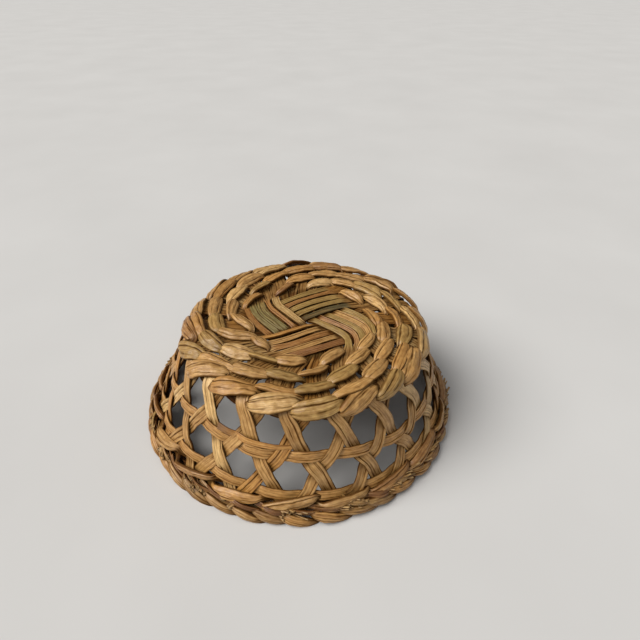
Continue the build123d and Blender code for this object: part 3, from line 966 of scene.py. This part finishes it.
def floor_material():
    """A plain pale floor with faint cloudy tones."""
    material = bpy.data.materials.new("pale_floor")
    material.use_nodes = True
    nodes = material.node_tree.nodes
    links = material.node_tree.links
    shader = nodes["Principled BSDF"]
    place = nodes.new("ShaderNodeTexCoord")
    noise = nodes.new("ShaderNodeTexNoise")
    noise.inputs["Scale"].default_value = 6.0
    noise.inputs["Detail"].default_value = 3.0
    ramp = nodes.new("ShaderNodeValToRGB")
    ramp.color_ramp.elements[0].color = (0.57, 0.56, 0.545, 1)
    ramp.color_ramp.elements[1].color = (0.65, 0.64, 0.625, 1)
    links.new(place.outputs["Object"], noise.inputs["Vector"])
    links.new(noise.outputs["Fac"], ramp.inputs["Fac"])
    links.new(ramp.outputs["Color"], shader.inputs["Base Color"])
    shader.inputs["Roughness"].default_value = 0.9
    return material


# ---------------------------------------------------------------- stage

CAMERA_PLACE = (0.138, -2.36, 2.34)  # in rim radii
CAMERA_DOWN = 36.3  # degrees below level


def make_camera():
    """The photo's viewpoint: from the front, above, and a little to the right."""
    data = bpy.data.cameras.new("camera")
    data.sensor_width = 36
    data.lens = 27
    data.clip_end = 100
    camera = bpy.data.objects.new("camera", data)
    camera.location = [distance * RIM_R * MM for distance in CAMERA_PLACE]
    camera.rotation_euler = (radians(90 - CAMERA_DOWN), 0, 0)
    bpy.context.scene.collection.objects.link(camera)
    bpy.context.scene.camera = camera


def soft_light(name, source, spread, strength, tint):
    """A broad light from one direction, spread over so many degrees."""
    data = bpy.data.lights.new(name, "SUN")
    data.angle = radians(spread)
    data.energy = strength
    data.color = tint
    lamp = bpy.data.objects.new(name, data)
    east, north, up = source
    lamp.rotation_euler = (atan2(hypot(east, north), up), 0, atan2(east, -north))
    bpy.context.scene.collection.objects.link(lamp)


def make_stage():
    """Floor, window light from the left, weak fill and room light."""
    bpy.ops.mesh.primitive_grid_add(x_subdivisions=2, y_subdivisions=2, size=40)
    floor = bpy.context.object
    floor.name = "floor"
    floor.data.materials.append(floor_material())
    soft_light("window", (-0.66, -0.18, 0.72), spread=42, strength=3.3, tint=(1.0, 0.985, 0.96))
    soft_light("room", (0.15, -0.4, 0.9), spread=80, strength=0.4, tint=(0.97, 0.98, 1.0))
    world = bpy.data.worlds.new("room_light")
    world.use_nodes = True
    background = world.node_tree.nodes["Background"]
    background.inputs["Color"].default_value = (0.93, 0.93, 0.92, 1)
    background.inputs["Strength"].default_value = 0.21
    bpy.context.scene.world = world
    bpy.context.scene.view_settings.view_transform = "Standard"


# ---------------------------------------------------------------- the whole piece

# Tint and width of each leaf across the woven centre, from the first to the last
FRONT_LOOKS = [(RUST, 5.2), (GREEN, 6.0), (GREEN, 6.2), (RUST, 3.6), (PALE, 6.8),
               (OLIVE, 5.2), (ROSE, 3.6), (OLIVE, 4.8), (TAN, 5.8), (OLIVE, 5.4)]
BACK_LOOKS = [(BROWN, 5.4), (TAN, 5.0), (RUST, 4.8), (TAN, 4.8), (GOLD, 5.6),
              (DARK, 5.6), (OLIVE, 4.4), (OLIVE, 5.6), (RUST, 4.0), (OLIVE, 4.8)]


def make_object():
    """All pieces of the hat, from the long leaves to the trimmed tips at the rim."""
    leaf = rush_material("rush_leaf", roughness=0.42, relief=0.9)
    strand = rush_material("rush_strand", roughness=0.38, relief=1.0)
    border = rush_material("rush_border", roughness=0.44, relief=1.0)
    for index in range(LEAVES_PER_WAY):
        number = index + 1
        long_leaf(f"leaf_fr_{number:02d}", f"leaf_front_right_{number:02d}", FRONT_HEADING, index,
                  FRONT_LOOKS[index], leaf)
        long_leaf(f"leaf_br_{number:02d}", f"leaf_back_right_{number:02d}", BACK_HEADING, index,
                  BACK_LOOKS[index], leaf)
    for row_number in range(len(WOVEN_ROWS)):
        woven_row(row_number, strand)
    for phase, letter in enumerate("ab"):
        edge_row(phase, letter, strand)
    hoop("upper_hoop", "upper_wall_hoop", level=2, width=7.6, spliced=True, material=leaf)
    hoop("lower_hoop", "lower_wall_hoop", level=4, width=7.0, spliced=False, material=leaf)
    for phase, letter in enumerate("ab"):
        rim_row(phase, letter, strand)
    folded_ends(border)
    rolled_rim(border)
    trimmed_tips(border)


make_camera()
make_stage()
make_object()
